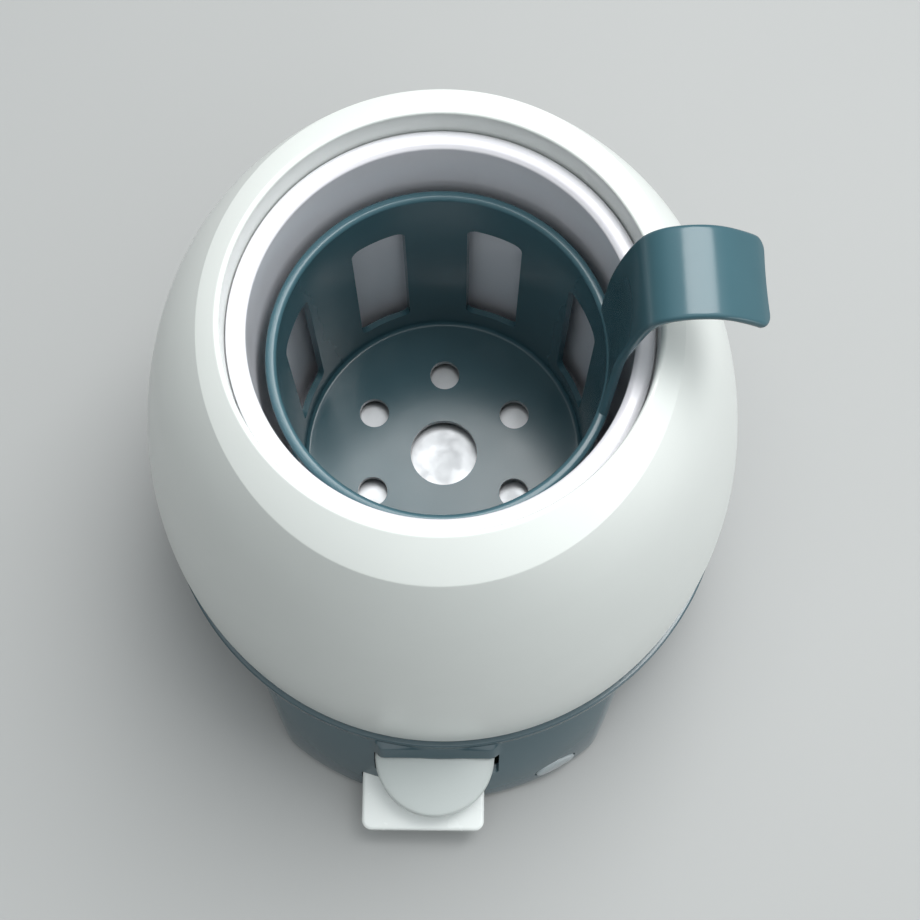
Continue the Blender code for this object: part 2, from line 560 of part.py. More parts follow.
tube("heater_lead_2", [(3.0, -64.0, 7.7), (3.0, -60.0, 12.0), (6.0, -42.0, 20.0), (5.0, -30.0, 29.0),
                       (3.0, -20.0, 36.0), (2.0, -14.0, 38.8), (2.0, -9.5, 39.6)], 0.9, "wire_white")

# --------------------------------------------------------------- the basket
r0 = BASKET_R - BASKET_WALL
lifter_prof = [(0, BASKET_FLOOR), (BASKET_R - 1.6, BASKET_FLOOR), (BASKET_R, BASKET_FLOOR + 1.6),
               (BASKET_R, RING_Z - 4.0), (RING_R, RING_Z - 2.6), (RING_R, RING_Z - 0.7), (RING_R - 0.7, RING_Z),
               (RING_R - 2.0, RING_Z), (r0, RING_Z - 0.9), (r0, BASKET_FLOOR + 2.0), (0, BASKET_FLOOR + 2.0)]
lifter = lathe("bottle_lifter", lifter_prof, "basket")


def strap_rings():
    """Rectangular sections square to the path, as wide as the strap."""
    rings = []
    n = len(HOOK_PATH)
    for k, (r, z) in enumerate(HOOK_PATH):
        a = HOOK_PATH[max(0, k - 1)]
        b = HOOK_PATH[min(n - 1, k + 1)]
        t = Vector((b[0] - a[0], b[1] - a[1])).normalized()
        out = Vector((t.y, -t.x))            # away from the visible face
        o = Vector((r, z)) + out * HOOK_T
        w = HOOK_HALF_W
        rings.append([(r, -w, z), (r, w, z), (o.x, w, o.y), (o.x, -w, o.y)])
    return rings


bm = loft_bm(strap_rings())
bmesh.ops.rotate(bm, verts=bm.verts, cent=(0, 0, 0), matrix=Matrix.Rotation(HOOK_AZ, 3, "Z"))
join(lifter, make("strap_solid", bm))
for i in range(4):
    bm = box_bm(-60.0, 60.0, -7.0, 7.0, 58.0, 116.0)
    bmesh.ops.rotate(bm, verts=bm.verts, cent=(0, 0, 0),
                     matrix=Matrix.Rotation(HOOK_AZ + math.radians(22.5 + 45.0 * i), 3, "Z"))
    cut(lifter, make("window_cutter_%d" % i, bm))
for i in range(4):                        # feet that keep water under the floor
    a = math.radians(90 * i)
    join(lifter, cyl("basket_foot_%d" % i, (34.4 * math.cos(a), 34.4 * math.sin(a)), 2.0,
                     LINER_FLOOR + 2.0 + GAP, BASKET_FLOOR + 0.8, None, 10))
cut(lifter, cyl("drain_hole", (0, 0), 9.0, 40.0, 52.0, None, 16))
for i in range(6):
    a = math.radians(30 + 60 * i)
    cut(lifter, cyl("drain_%d" % i, (22.0 * math.cos(a), 22.0 * math.sin(a)), 4.0, 40.0, 52.0, None, 10))
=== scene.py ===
"""Looks of the bottle warmer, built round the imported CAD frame.

Lengths in the tables below are millimetres from the egg's axis on the floor;
put() turns them into metres in the CAD's own frame.
"""
import math

import bmesh
import bpy
import numpy as np
from mathutils import Matrix, Vector


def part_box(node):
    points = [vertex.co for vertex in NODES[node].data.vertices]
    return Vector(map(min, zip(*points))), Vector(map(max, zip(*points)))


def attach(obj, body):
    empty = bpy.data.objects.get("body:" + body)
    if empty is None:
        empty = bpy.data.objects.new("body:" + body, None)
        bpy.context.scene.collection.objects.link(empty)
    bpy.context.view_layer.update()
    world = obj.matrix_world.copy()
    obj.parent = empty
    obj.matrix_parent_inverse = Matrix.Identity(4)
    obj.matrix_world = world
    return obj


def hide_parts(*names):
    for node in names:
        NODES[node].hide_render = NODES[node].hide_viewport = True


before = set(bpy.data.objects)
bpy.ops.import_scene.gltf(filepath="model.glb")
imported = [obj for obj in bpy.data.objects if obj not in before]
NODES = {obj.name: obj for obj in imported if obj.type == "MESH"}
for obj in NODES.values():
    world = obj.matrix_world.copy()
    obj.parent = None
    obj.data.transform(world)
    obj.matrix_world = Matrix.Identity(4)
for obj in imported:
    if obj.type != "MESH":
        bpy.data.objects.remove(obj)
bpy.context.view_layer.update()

MM = 0.001
lo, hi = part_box("outer_shell")
AX = Vector(((lo.x + hi.x) / 2.0, (lo.y + hi.y) / 2.0, 0.0))      # the egg's axis
lo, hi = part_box("temperature_dial")
DIAL = ((lo.x + hi.x) / 2.0 / MM - AX.x / MM, (lo.y + hi.y) / 2.0 / MM - AX.y / MM)
DIAL_Z = (lo.z / MM, hi.z / MM)
DIAL_R = (hi.x - lo.x) / 2.0 / MM
lo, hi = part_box("dial_plate")
PLATE = ((lo.x - AX.x) / MM, (hi.x - AX.x) / MM, (lo.y - AX.y) / MM, (hi.y - AX.y) / MM, lo.z / MM, hi.z / MM)


# ------------------------------------------------------------------ materials
class Nodes:
    """Short-hand for a Principled material with procedural detail."""

    def __init__(self, name):
        self.m = bpy.data.materials.new(name)
        self.m.use_nodes = True
        self.t = self.m.node_tree
        self.p = self.t.nodes["Principled BSDF"]
        self.co = self.t.nodes.new("ShaderNodeTexCoord")

    def const(self, **kw):
        for k, v in kw.items():
            self.p.inputs[k.replace("_", " ")].default_value = v
        return self

    def noise(self, scale, detail=3.0, rough=0.5, stretch=None, out="Fac"):
        n = self.t.nodes.new("ShaderNodeTexNoise")
        n.inputs["Scale"].default_value = scale
        n.inputs["Detail"].default_value = detail
        n.inputs["Roughness"].default_value = rough
        if stretch:
            mp = self.t.nodes.new("ShaderNodeMapping")
            mp.inputs["Scale"].default_value = stretch
            self.t.links.new(self.co.outputs["Object"], mp.inputs["Vector"])
            self.t.links.new(mp.outputs["Vector"], n.inputs["Vector"])
        else:
            self.t.links.new(self.co.outputs["Object"], n.inputs["Vector"])
        return n.outputs[out]

    def ramp(self, fac, stops):
        r = self.t.nodes.new("ShaderNodeValToRGB")
        e = r.color_ramp.elements
        while len(e) < len(stops):
            e.new(0.5)
        for el, (pos, col) in zip(e, stops):
            el.position = pos
            el.color = (*col, 1.0) if len(col) == 3 else col
        self.t.links.new(fac, r.inputs["Fac"])
        return r.outputs["Color"]

    def span(self, fac, a, b, lo=0.3, hi=0.7):
        r = self.t.nodes.new("ShaderNodeMapRange")
        for k, v in (("From Min", lo), ("From Max", hi), ("To Min", a), ("To Max", b)):
            r.inputs[k].default_value = v
        self.t.links.new(fac, r.inputs["Value"])
        return r.outputs["Result"]

    def link(self, out, name):
        self.t.links.new(out, self.p.inputs[name])
        return self

    def bump(self, fac, strength, dist):
        b = self.t.nodes.new("ShaderNodeBump")
        b.inputs["Strength"].default_value = strength
        b.inputs["Distance"].default_value = dist
        self.t.links.new(fac, b.inputs["Height"])
        self.t.links.new(b.outputs["Normal"], self.p.inputs["Normal"])
        return self


def plastic(name, rgb, rough, spread=0.03, vary=0.02, grain=900.0, bump=0.02, **kw):
    """Moulded plastic: faint tone drift, uneven gloss and a fine orange peel."""
    n = Nodes(name)
    tone = n.noise(26.0, 4.0)
    a = tuple(max(0.0, c * (1 - vary)) for c in rgb)
    b = tuple(min(1.0, c * (1 + vary)) for c in rgb)
    n.link(n.ramp(tone, [(0.35, a), (0.65, b)]), "Base Color")
    n.link(n.span(n.noise(70.0, 5.0), rough - spread, rough + spread), "Roughness")
    n.bump(n.noise(grain, 2.0), bump, 0.0002)
    n.const(**kw)
    return n.m


def metal(name, rgb, rough, brushed=None, **kw):
    n = Nodes(name)
    f = n.noise(220.0, 4.0, stretch=brushed or (1, 1, 1))
    a = tuple(c * 0.9 for c in rgb)
    n.link(n.ramp(f, [(0.3, a), (0.7, rgb)]), "Base Color")
    n.link(n.span(f, rough - 0.06, rough + 0.08), "Roughness")
    n.bump(f, 0.08, 0.0001)
    n.const(Metallic=1.0, **kw)
    return n.m


M = {
    "shell": plastic("shell_white_gloss", (0.800, 0.830, 0.800), 0.34, 0.03, 0.012, 700.0, 0.03,
                     Coat_Weight=0.12, Coat_Roughness=0.12, IOR=1.49, Subsurface_Weight=0.0),
    "liner": plastic("liner_white_gloss", (0.915, 0.898, 0.935), 0.24, 0.03, 0.012, 700.0, 0.02,
                     Coat_Weight=0.25, Coat_Roughness=0.08, IOR=1.49),
    "base": plastic("base_grey_blue_gloss", (0.066, 0.112, 0.132), 0.16, 0.03, 0.05, 600.0, 0.03,
                    Coat_Weight=0.3, Coat_Roughness=0.05, IOR=1.50),
    "cover": plastic("cover_grey_blue_satin", (0.110, 0.160, 0.178), 0.45, 0.06, 0.05, 1800.0, 0.25),
    "basket": plastic("basket_teal_gloss", (0.054, 0.122, 0.147), 0.20, 0.03, 0.06, 500.0, 0.03,
                      Coat_Weight=0.0, Coat_Roughness=0.08, IOR=1.42, Transmission_Weight=0.04),
    "dial": plastic("dial_white_satin", (0.560, 0.600, 0.585), 0.34, 0.04, 0.015, 1100.0, 0.08,
                    Coat_Weight=0.1, Coat_Roughness=0.2),
    "tongue": plastic("tongue_white_gloss", (0.860, 0.890, 0.870), 0.26, 0.03, 0.012, 800.0, 0.04,
                      Coat_Weight=0.3, Coat_Roughness=0.1),
    "lens": plastic("lens_smoked_clear", (0.430, 0.480, 0.500), 0.06, 0.02, 0.03, 400.0, 0.01,
                    Transmission_Weight=0.20, Coat_Weight=0.5, Coat_Roughness=0.03, IOR=1.49),
    "rubber": plastic("foot_rubber", (0.030, 0.031, 0.033), 0.78, 0.06, 0.15, 2600.0, 0.5, IOR=1.45),
    "silicone": plastic("seal_silicone", (0.36, 0.08, 0.05), 0.55, 0.05, 0.08, 1500.0, 0.2),
    "ceramic": plastic("element_ceramic", (0.62, 0.58, 0.50), 0.6, 0.08, 0.08, 1400.0, 0.35),
    "black": plastic("black_moulded", (0.018, 0.018, 0.020), 0.42, 0.06, 0.2, 1800.0, 0.3),
    "pcb": plastic("solder_mask", (0.012, 0.090, 0.030), 0.35, 0.06, 0.15, 800.0, 0.15, Coat_Weight=0.3),
    "wire_brown": plastic("wire_brown", (0.10, 0.035, 0.015), 0.45, 0.05, 0.1, 900.0, 0.1),
    "wire_blue": plastic("wire_blue", (0.02, 0.07, 0.30), 0.45, 0.05, 0.1, 900.0, 0.1),
    "wire_white": plastic("wire_braid", (0.62, 0.60, 0.55), 0.7, 0.06, 0.1, 2400.0, 0.6),
    "alu": metal("pressed_aluminium", (0.40, 0.41, 0.42), 0.42),
    "steel": metal("zinc_steel", (0.56, 0.56, 0.57), 0.30),
    "brass": metal("turned_brass", (0.62, 0.44, 0.16), 0.26),
}
CAD_LOOK = {"heater_seal": "silicone", "heater_plate": "alu", "clamp_ring": "steel", "heating_element": "ceramic",
            "element_bracket": "steel", "thermostat": "black", "thermal_fuse": "alu", "base_cover": "cover",
            "dial_spindle": "steel", "control_board": "pcb", "dial_switch": "black", "indicator_lamp": "ceramic",
            "board_relay": "black", "lead_live": "wire_brown", "lead_neutral": "wire_blue",
            "heater_lead_1": "wire_white", "heater_lead_2": "wire_white"}
for k in (1, 2, 3, 4):
    CAD_LOOK["clamp_screw_%d" % k] = "steel"
    CAD_LOOK["cover_screw_%d" % k] = "steel"
for node, look in CAD_LOOK.items():
    NODES[node].data.materials.clear()
    NODES[node].data.materials.append(M[look])


# -------------------------------------------------------------- mesh helpers
def put(name, verts, faces, look, body, replaces=(), sharp=32.0):
    """Make a piece from millimetre points round the egg's axis."""
    v = np.asarray(verts, float) * MM + np.array(AX)
    me = bpy.data.meshes.new(name)
    me.from_pydata(v.tolist(), [], [list(map(int, f)) for f in faces])
    me.validate()
    bm = bmesh.new()
    bm.from_mesh(me)
    bmesh.ops.remove_doubles(bm, verts=bm.verts, dist=1e-7)
    bmesh.ops.recalc_face_normals(bm, faces=bm.faces)
    bm.to_mesh(me)
    bm.free()
    me.shade_smooth()
    me.set_sharp_from_angle(angle=math.radians(sharp))
    ob = bpy.data.objects.new(name, me)
    bpy.context.scene.collection.objects.link(ob)
    if look:
        me.materials.append(M[look])
    if body:
        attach(ob, body)
    if replaces:
        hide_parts(*replaces)
    return ob


def apply_boolean(ob, others, op="DIFFERENCE"):
    """Cut or join the other pieces now, and remove them."""
    for other in others:
        m = ob.modifiers.new("b", "BOOLEAN")
        m.operation = op
        m.solver = "EXACT"
        m.object = other
    dg = bpy.context.evaluated_depsgraph_get()
    me = bpy.data.meshes.new_from_object(ob.evaluated_get(dg))
    ob.modifiers.clear()
    ob.data = me
    for other in others:
        bpy.data.objects.remove(other, do_unlink=True)


def finish_mesh(ob, sharp=32.0):
    bm = bmesh.new()
    bm.from_mesh(ob.data)
    bmesh.ops.remove_doubles(bm, verts=bm.verts, dist=2e-6)
    bmesh.ops.dissolve_degenerate(bm, edges=bm.edges, dist=2e-6)
    bm.to_mesh(ob.data)
    bm.free()
    ob.data.shade_smooth()
    ob.data.set_sharp_from_angle(angle=math.radians(sharp))
    w = ob.modifiers.new("weights", "WEIGHTED_NORMAL")
    w.keep_sharp = True
    w.weight = 60


def fillet(pts, n=6, closed=True):
    """Round the corners of an outline: points are (x, y) or (x, y, radius)."""
    out = []
    k = len(pts)
    for i, p in enumerate(pts):
        rad = p[2] if len(p) > 2 else 0.0
        if rad <= 0 or (not closed and i in (0, k - 1)):
            out.append((p[0], p[1]))
            continue
        c = np.array(p[:2], float)
        a = np.array(pts[i - 1][:2], float) - c
        b = np.array(pts[(i + 1) % k][:2], float) - c
        la, lb = np.linalg.norm(a), np.linalg.norm(b)
        a, b = a / la, b / lb
        cosang = float(np.clip(np.dot(a, b), -1, 1))
        half = math.acos(cosang) / 2
        t = min(rad / math.tan(half), 0.49 * la, 0.49 * lb)
        rad = t * math.tan(half)
        mid = (a + b) / np.linalg.norm(a + b)
        cen = c + mid * (rad / math.sin(half))
        v0, v1 = c + a * t - cen, c + b * t - cen
        tot = math.acos(float(np.clip(np.dot(v0, v1) / rad / rad, -1, 1)))
        for j in range(n + 1):
            s = j / n
            w = (math.sin((1 - s) * tot) * v0 + math.sin(s * tot) * v1) / max(math.sin(tot), 1e-9)
            out.append(tuple(cen + w))
    return out


def lathe(prof, seg, centre=(0.0, 0.0)):
    """Vertices and faces of a closed outline turned round a vertical line."""
    verts, faces, cols = [], [], []
    for r, z in prof:
        if r < 1e-6:
            cols.append([len(verts)])
            verts.append((centre[0], centre[1], z))
        else:
            cols.append(list(range(len(verts), len(verts) + seg)))
            for i in range(seg):
                a = 2 * math.pi * i / seg
                verts.append((centre[0] + r * math.cos(a), centre[1] + r * math.sin(a), z))
    n = len(cols)
    for k in range(n):
        a, b = cols[k], cols[(k + 1) % n]
        if len(a) == 1 and len(b) == 1:
            continue
        for i in range(seg):
            j = (i + 1) % seg
            if len(a) == 1:
                faces.append((a[0], b[i], b[j]))
            elif len(b) == 1:
                faces.append((a[i], b[0], a[j]))
            else:
                faces.append((a[i], b[i], b[j], a[j]))
    return verts, faces


def loft(rings, caps=True):
    verts = [p for ring in rings for p in ring]
    n = len(rings[0])
    faces = []
    for k in range(len(rings) - 1):
        for i in range(n):
            j = (i + 1) % n
            faces.append((k * n + i, k * n + j, (k + 1) * n + j, (k + 1) * n + i))
    if caps:
        faces.append(tuple(range(n))[::-1])
        faces.append(tuple(range((len(rings) - 1) * n, len(rings) * n)))
    return verts, faces


def rrect(cx, cy, hx, hy, rad, n=6):
    return fillet([(cx + hx, cy - hy, rad), (cx + hx, cy + hy, rad), (cx - hx, cy + hy, rad), (cx - hx, cy - hy, rad)], n)


def smin(a, b, k):
    h = np.maximum(k - np.abs(a - b), 0.0) / k
    return np.minimum(a, b) - h * h * k * 0.25


def smax(a, b, k):
    return -smin(-a, -b, k)


def smooth01(x):
    x = np.clip(x, 0.0, 1.0)
    return x * x * (3 - 2 * x)


# --------------------------------------------------------------- outer shell
PART_Z, SHELL_R, EGG_H, WALL = 33.0, 77.7, 172.8, 2.3
RIM = (47.0, 159.2)


def egg_r(z):
    tuck = 1.5 * (max(0.0, 75.0 - z) / (75.0 - PART_Z)) ** 1.6
    return SHELL_R * math.sqrt(1.0 - ((z - PART_Z + 0.2) / EGG_H) ** 2) - tuck


def shell_outline(a):
    """Section of the shell towards an azimuth; the rim band's edge is an oval."""
    c = -math.cos(2 * a)
    cr, cz = 54.75 + 2.15 * c, 152.0 - 2.2 * c
    short = egg_r(cz) - cr
    outer = [(egg_r(PART_Z), PART_Z, 0.45)]
    for z in np.linspace(34.6, cz - 1.4, 60):
        up = max(0.0, (z - 128.0) / (cz - 128.0))
        outer.append((egg_r(z) - short * up ** 2.2, z))
    return fillet(outer + [(cr, cz, 1.5), (RIM[0], RIM[1], 0.8), (RIM[0], 148.0, 0.3), (RIM[0] + 2.0, 148.0, 0.3),
                           (RIM[0] + 2.2, 153.8, 1.0), (52.0, 150.4), (56.2, 143.2)]
                  + [(egg_r(z) - WALL, z) for z in np.linspace(134.0, 36.0, 24)] + [(egg_r(PART_Z) - WALL, PART_Z, 0.4)], 8)


SHELL_SEG = 224
rows = [shell_outline(2 * math.pi * i / SHELL_SEG) for i in range(SHELL_SEG)]
NP = len(rows[0])
assert all(len(r) == NP for r in rows)
v = [(r * math.cos(2 * math.pi * i / SHELL_SEG), r * math.sin(2 * math.pi * i / SHELL_SEG), z)
     for i, row in enumerate(rows) for r, z in row]
f = [(i * NP + k, ((i + 1) % SHELL_SEG) * NP + k, ((i + 1) % SHELL_SEG) * NP + (k + 1) % NP, i * NP + (k + 1) % NP)
     for i in range(SHELL_SEG) for k in range(NP)]
put("shell_skin", v, f, "shell", "body", ["outer_shell"], 35.0)

# --------------------------------------------------------------------- liner
WELL_R, LO = 42.3, 44.1
prof = fillet([(31.0, 42.0, 0.3), (LO, 42.0, 1.4), (LO, 145.9, 0.3), (51.5, 145.9, 0.3), (51.5, 147.7, 0.3),
               (46.85, 147.7, 0.2), (46.7, 149.8, 1.2), (45.6, 150.75, 1.4), (43.3, 150.75, 1.2), (WELL_R, 149.6, 1.2),
               (WELL_R, 44.0, 1.8), (31.0, 44.0, 0.3)], 7)
v, f = lathe(prof, 192)
liner = put("liner_skin", v, f, "liner", "body", ["chamber_liner"], 35.0)
legs = []
for i in range(4):
    a = math.radians(90 * i)
    ring = rrect(47.9, 0.0, 4.2, 4.0, 0.8, 4)
    rot = [(x * math.cos(a) - y * math.sin(a), x * math.sin(a) + y * math.cos(a)) for x, y in ring]
    v, f = loft([[(x, y, z) for x, y in rot] for z in (33.1, 55.5)])
    legs.append(put("leg_%d" % i, v, f, None, None))
    c = (39.6 * math.cos(a + math.pi / 4), 39.6 * math.sin(a + math.pi / 4))
    v, f = lathe([(1.65, 38.5), (3.0, 38.5), (3.0, 43.0), (1.65, 43.0)], 32, c)
    legs.append(put("boss_%d" % i, v, f, None, None))
apply_boolean(liner, legs, "UNION")
finish_mesh(liner, 35.0)

# ---------------------------------------------------------------------- base
BASE_R, TOP_R0, FOOT_R0, LOW = 77.7, 76.7, 72.5, 2.2
POD_TOP_R, POD_TOP_Z, ARC = 77.4, 30.0, (22.6, 66.4)
POD_TOP_CORNER, POD_CORNER, ROOT = (47.3, 61.1), (43.6, 72.8), (52.4, 54.0, 50.0)
BLOCK_Y, BLOCK_Z = 77.5, 17.0


def base_round(z):
    """Radius of the round base, with the rim ring that stands proud at its top."""
    r = FOOT_R0 + (TOP_R0 - FOOT_R0) * (z - 3.8) / 25.2
    ring = smooth01((z - 28.9) / 1.2)
    return r * (1 - ring) + BASE_R * ring


def pod_t(z):
    t = (POD_TOP_Z - z) / (POD_TOP_Z - LOW)
    return t * (1.0 + 0.64 * (1.0 - t))


def pod_front(phi, z):
    """Radius of the pod's sloping front face, an arc that moves from round the
    egg's axis at the top to a tighter one at the foot."""
    low = ARC[0] * np.cos(phi) + np.sqrt(np.maximum(ARC[1] ** 2 - (ARC[0] * np.sin(phi)) ** 2, 0.0))
    return POD_TOP_R + (low - POD_TOP_R) * pod_t(z)


def base_outer(phi, z):
    """Outer radius towards azimuth phi (0 at the front, positive to the right)."""
    rb = base_round(z)
    if z < POD_TOP_Z + 0.5:
        t = pod_t(z)
        big = pod_front(phi, z)
        cx = POD_TOP_CORNER[0] + (POD_CORNER[0] - POD_TOP_CORNER[0]) * t
        cy = POD_TOP_CORNER[1] + (POD_CORNER[1] - POD_TOP_CORNER[1]) * t
        p = np.abs(phi)
        # straight side of the pod, from its front corner to its root
        dx, dy = ROOT[1] + (ROOT[0] - ROOT[1]) * t - cx, -(ROOT[2] - cy)
        sx, sy = np.sin(p), -np.cos(p)
        den = sx * dy - sy * dx
        num = cx * dy + cy * dx
        side = np.where(den > 1e-3, num / np.maximum(den, 1e-3), 1e3)
        side = np.where((p < 1.2) & (side > 0), side, 0.0)
        pod = smin(big, side, 1.8)
        rb = smax(rb, pod, 1.2)
        if 25.2 < z < 29.8:                              # straight lip over the dial
            yb = 80.0 - 2.1 * max(0.0, (z - 26.6) / 3.2)
            win = smooth01((17.2 - np.abs(yb * np.tan(np.clip(phi, -1.2, 1.2)) + 1.1)) / 3.6 + 0.25)
            win = win * (p < 1.0) * smooth01((z - 25.2) / 0.35)
            rb = rb + np.maximum(yb / np.maximum(np.cos(phi), 0.3) - rb, 0.0) * win
    # flat block for the mains inlet at the back
    q = np.pi - np.abs(phi)
    x = rb * np.sin(q)
    blk = BLOCK_Y / np.maximum(np.cos(q), 0.3)
    ddx, ddz = np.abs(x) - (15.0 - 2.5), abs(z - BLOCK_Z) - (11.0 - 2.5)
    sd = np.hypot(np.maximum(ddx, 0), max(ddz, 0.0)) + np.minimum(np.maximum(ddx, ddz), 0) - 2.5
    lift = smooth01(0.5 - sd / 1.4)
    lift = np.where(q < 0.6, lift, 0.0)
    return rb + np.maximum(blk - rb, 0.0) * lift


phi = []
a = -180.0
while a < 180.0 - 1e-6:
    phi.append(a)
    fa = abs(a + 0.01)
    if 27.0 < fa < 48.0:
        a += 0.35
    elif fa < 27.0:
        a += 0.6
    elif fa > 167.0:
        a += 0.3
    else:
        a += 1.2
phi = np.radians(np.array(phi))
zs = [LOW + 0.75] + list(np.linspace(3.6, 8.4, 14)) + list(np.linspace(9.0, 25.0, 24)) + \
    list(np.linspace(25.6, 30.2, 16)) + [30.9, 31.5]
rows = []
bottom = base_outer(phi, 3.2)
for k in range(6):                                  # rounded lower edge
    a = math.pi / 2 * k / 5
    rows.append((bottom - 0.9 * (1 - math.sin(a)), LOW + 0.75 - 0.75 * math.cos(a)))
for z in zs[1:]:
    rows.append((base_outer(phi, z), z))
one = np.ones_like(phi)
for r, z in fillet([(BASE_R, 31.6), (BASE_R, 32.7, 0.7), (76.0, 32.7), (73.5, 32.7, 0.2), (73.5, 37.0, 0.5), (71.5, 37.0, 0.5),
                    (71.5, 32.7, 0.2), (46.5, 32.7, 0.3), (46.5, 30.3, 0.3), (73.2, 30.3)], 5, False):
    rows.append((one * r, z))
for z in (28.8, 27.0, 22.0, 16.0, 10.0, 5.0, 3.6, LOW):
    rows.append((base_outer(phi, max(z, 3.2)) - (3.0 if z > 28 else 2.3), z))
verts, faces = [], []
nc = len(phi)
for r, z in rows:
    for c in range(nc):
        verts.append((r[c] * math.sin(phi[c]), -r[c] * math.cos(phi[c]), z))
nr = len(rows)
for k in range(nr):
    k2 = (k + 1) % nr
    for c in range(nc):
        c2 = (c + 1) % nc
        faces.append((k * nc + c, k * nc + c2, k2 * nc + c2, k2 * nc + c))
base = put("base_skin", verts, faces, "base", "body", ["base_housing"], 40.0)


def prism(name, outline, y0, y1):
    """Cutter: an outline in x and z, pushed along y."""
    v, f = loft([[(x, y, z) for x, z in outline] for y in (y0, y1)])
    return put(name, v, f, None, None)


SLOT_Z = (17.3, 25.7)
dial_slot = prism("cut_dial", rrect(DIAL[0] + 0.5, sum(SLOT_Z) / 2, DIAL_R + 0.75, (SLOT_Z[1] - SLOT_Z[0]) / 2, 0.9), -99.0, -68.0)
px0, px1, py0, py1, pz0, pz1 = PLATE
tongue_slot = prism("cut_tongue", rrect((px0 + px1) / 2, (pz0 + pz1) / 2, (px1 - px0) / 2 + 0.3, (pz1 - pz0) / 2 + 0.3, 0.8),
                    -99.0, -76.5)
inlet_hole = prism("cut_inlet", rrect(0.0, BLOCK_Z, 11.2, 6.5, 1.4), 68.0, 85.0)
LENS_ANG, LENS_Z, LENS_HALF = math.radians(22.0), 7.6, (6.0, 2.9)


def lens_frame():
    def at(phi, z):
        r = float(pod_front(phi, z))
        return Vector((r * math.sin(phi), -r * math.cos(phi), z))
    u = (at(LENS_ANG + 0.01, LENS_Z) - at(LENS_ANG - 0.01, LENS_Z)).normalized()
    w = (at(LENS_ANG, LENS_Z + 0.5) - at(LENS_ANG, LENS_Z - 0.5)).normalized()
    n = u.cross(w).normalized()
    return at(LENS_ANG, LENS_Z), n, u, n.cross(u)


def lens_ring(off, grow, n=72):
    c, nn, u, w = lens_frame()
    return [tuple(c + nn * off + u * ((LENS_HALF[0] + grow) * math.cos(2 * math.pi * k / n))
                  + w * ((LENS_HALF[1] + grow) * math.sin(2 * math.pi * k / n))) for k in range(n)]


v, f = loft([lens_ring(-6.0, 0.25), lens_ring(-0.6, 0.25), lens_ring(0.1, 0.6), lens_ring(6.0, 0.8)])
lens_cut = put("cut_lens", v, f, None, None)
apply_boolean(base, [dial_slot, tongue_slot, inlet_hole, lens_cut])
finish_mesh(base, 55.0)

lens_rows = [(-2.6, 0.0), (-0.5, 0.0), (-0.1, -0.05), (0.15, -0.2), (0.35, -0.55), (0.5, -1.1), (0.6, -1.8), (0.64, -2.5)]
v, f = loft([lens_ring(o, g) for o, g in lens_rows])
put("lens_skin", v, f, "lens", "body", ["indicator_lens"], 50.0)

# ---------------------------------------------------------------------- dial
z0, z1 = DIAL_Z
dome = [(0.0, z1)] + [(x, z1 - 1.0 * (x / DIAL_R) ** 2) for x in np.linspace(1.5, DIAL_R - 1.6, 16)]
prof = [(0.0, z0)] + fillet([(2.0, z0), (DIAL_R, z0, 0.8), (DIAL_R, z1 - 1.15, 0.9), dome[-1]], 10, False)[1:-1] + dome[::-1]
v, f = lathe(prof, 128, DIAL)
put("dial_skin", v, f, "dial", "dial", ["temperature_dial"], 45.0)

# -------------------------------------------------------------------- tongue
rings = []
cx, cy = (px0 + px1) / 2, (py0 + py1) / 2
hx, hy = (px1 - px0) / 2, (py1 - py0) / 2
steps = [(pz0, 0.55)] + [(pz0 + 0.55 * (1 - math.cos(a)), 0.55 * (1 - math.sin(a))) for a in np.radians([30, 60, 90])] + \
    [(pz1 - 0.9 * (1 - math.sin(a)), 0.9 * (1 - math.cos(a))) for a in np.radians([0, 15, 30, 45, 60, 75, 90])]
for z, e in steps:
    rings.append([(x, y, z) for x, y in rrect(cx, cy, hx - e, hy - e, 2.6 - e * 0.8, 8)])
inner = rings[-1]
for s in (0.92, 0.7, 0.4):
    rings.append([(cx + (x - cx) * s, cy + (y - cy) * s, z + 0.0) for x, y, z in inner])
v, f = loft(rings)
tongue = put("tongue_skin", v, f, "tongue", "body", ["dial_plate"], 50.0)
v, f = loft([[(DIAL[0] + x, y, z) for x, y in ((-5.6, -81.8), (5.6, -81.8), (5.6, -76.0), (-5.6, -76.0))] for z in (8.0, 14.0)])
apply_boolean(tongue, [put("cut_notch", v, f, None, None)])
finish_mesh(tongue, 50.0)

# -------------------------------------------------------------------- lifter
BASKET_R, BASKET_WALL, RING_R, RING_Z, FLOOR = 38.9, 1.6, 39.9, 133.0, 46.2
HOOK_AZ, HALF_W, HOOK_T = math.radians(3.0), 10.1, 2.2
ri = BASKET_R - BASKET_WALL
prof = [(0.0, FLOOR)] + fillet([(1.0, FLOOR), (BASKET_R, FLOOR, 1.8), (BASKET_R, RING_Z - 3.9, 0.8), (RING_R, RING_Z - 2.8, 0.8),
                                (RING_R, RING_Z, 1.0), (ri, RING_Z, 1.0), (ri, FLOOR + 2.0, 1.2), (1.0, FLOOR + 2.0)],
                               6, False)[1:-1] + [(0.0, FLOOR + 2.0)]
v, f = lathe(prof, 176)
lifter = put("lifter_skin", v, f, "basket", None, (), 40.0)

# the strap's inner face in the plane of its azimuth, smoothed
PATH = [(37.7, 124.0), (37.7, 130.0), (37.75, 136.0), (37.95, 143.0), (38.5, 153.0), (39.8, 166.0), (41.6, 173.6), (44.6, 177.4),
        (48.2, 179.0), (51.8, 179.4), (55.6, 179.0), (59.4, 177.5), (63.4, 174.7), (66.0, 172.4), (67.6, 170.4)]


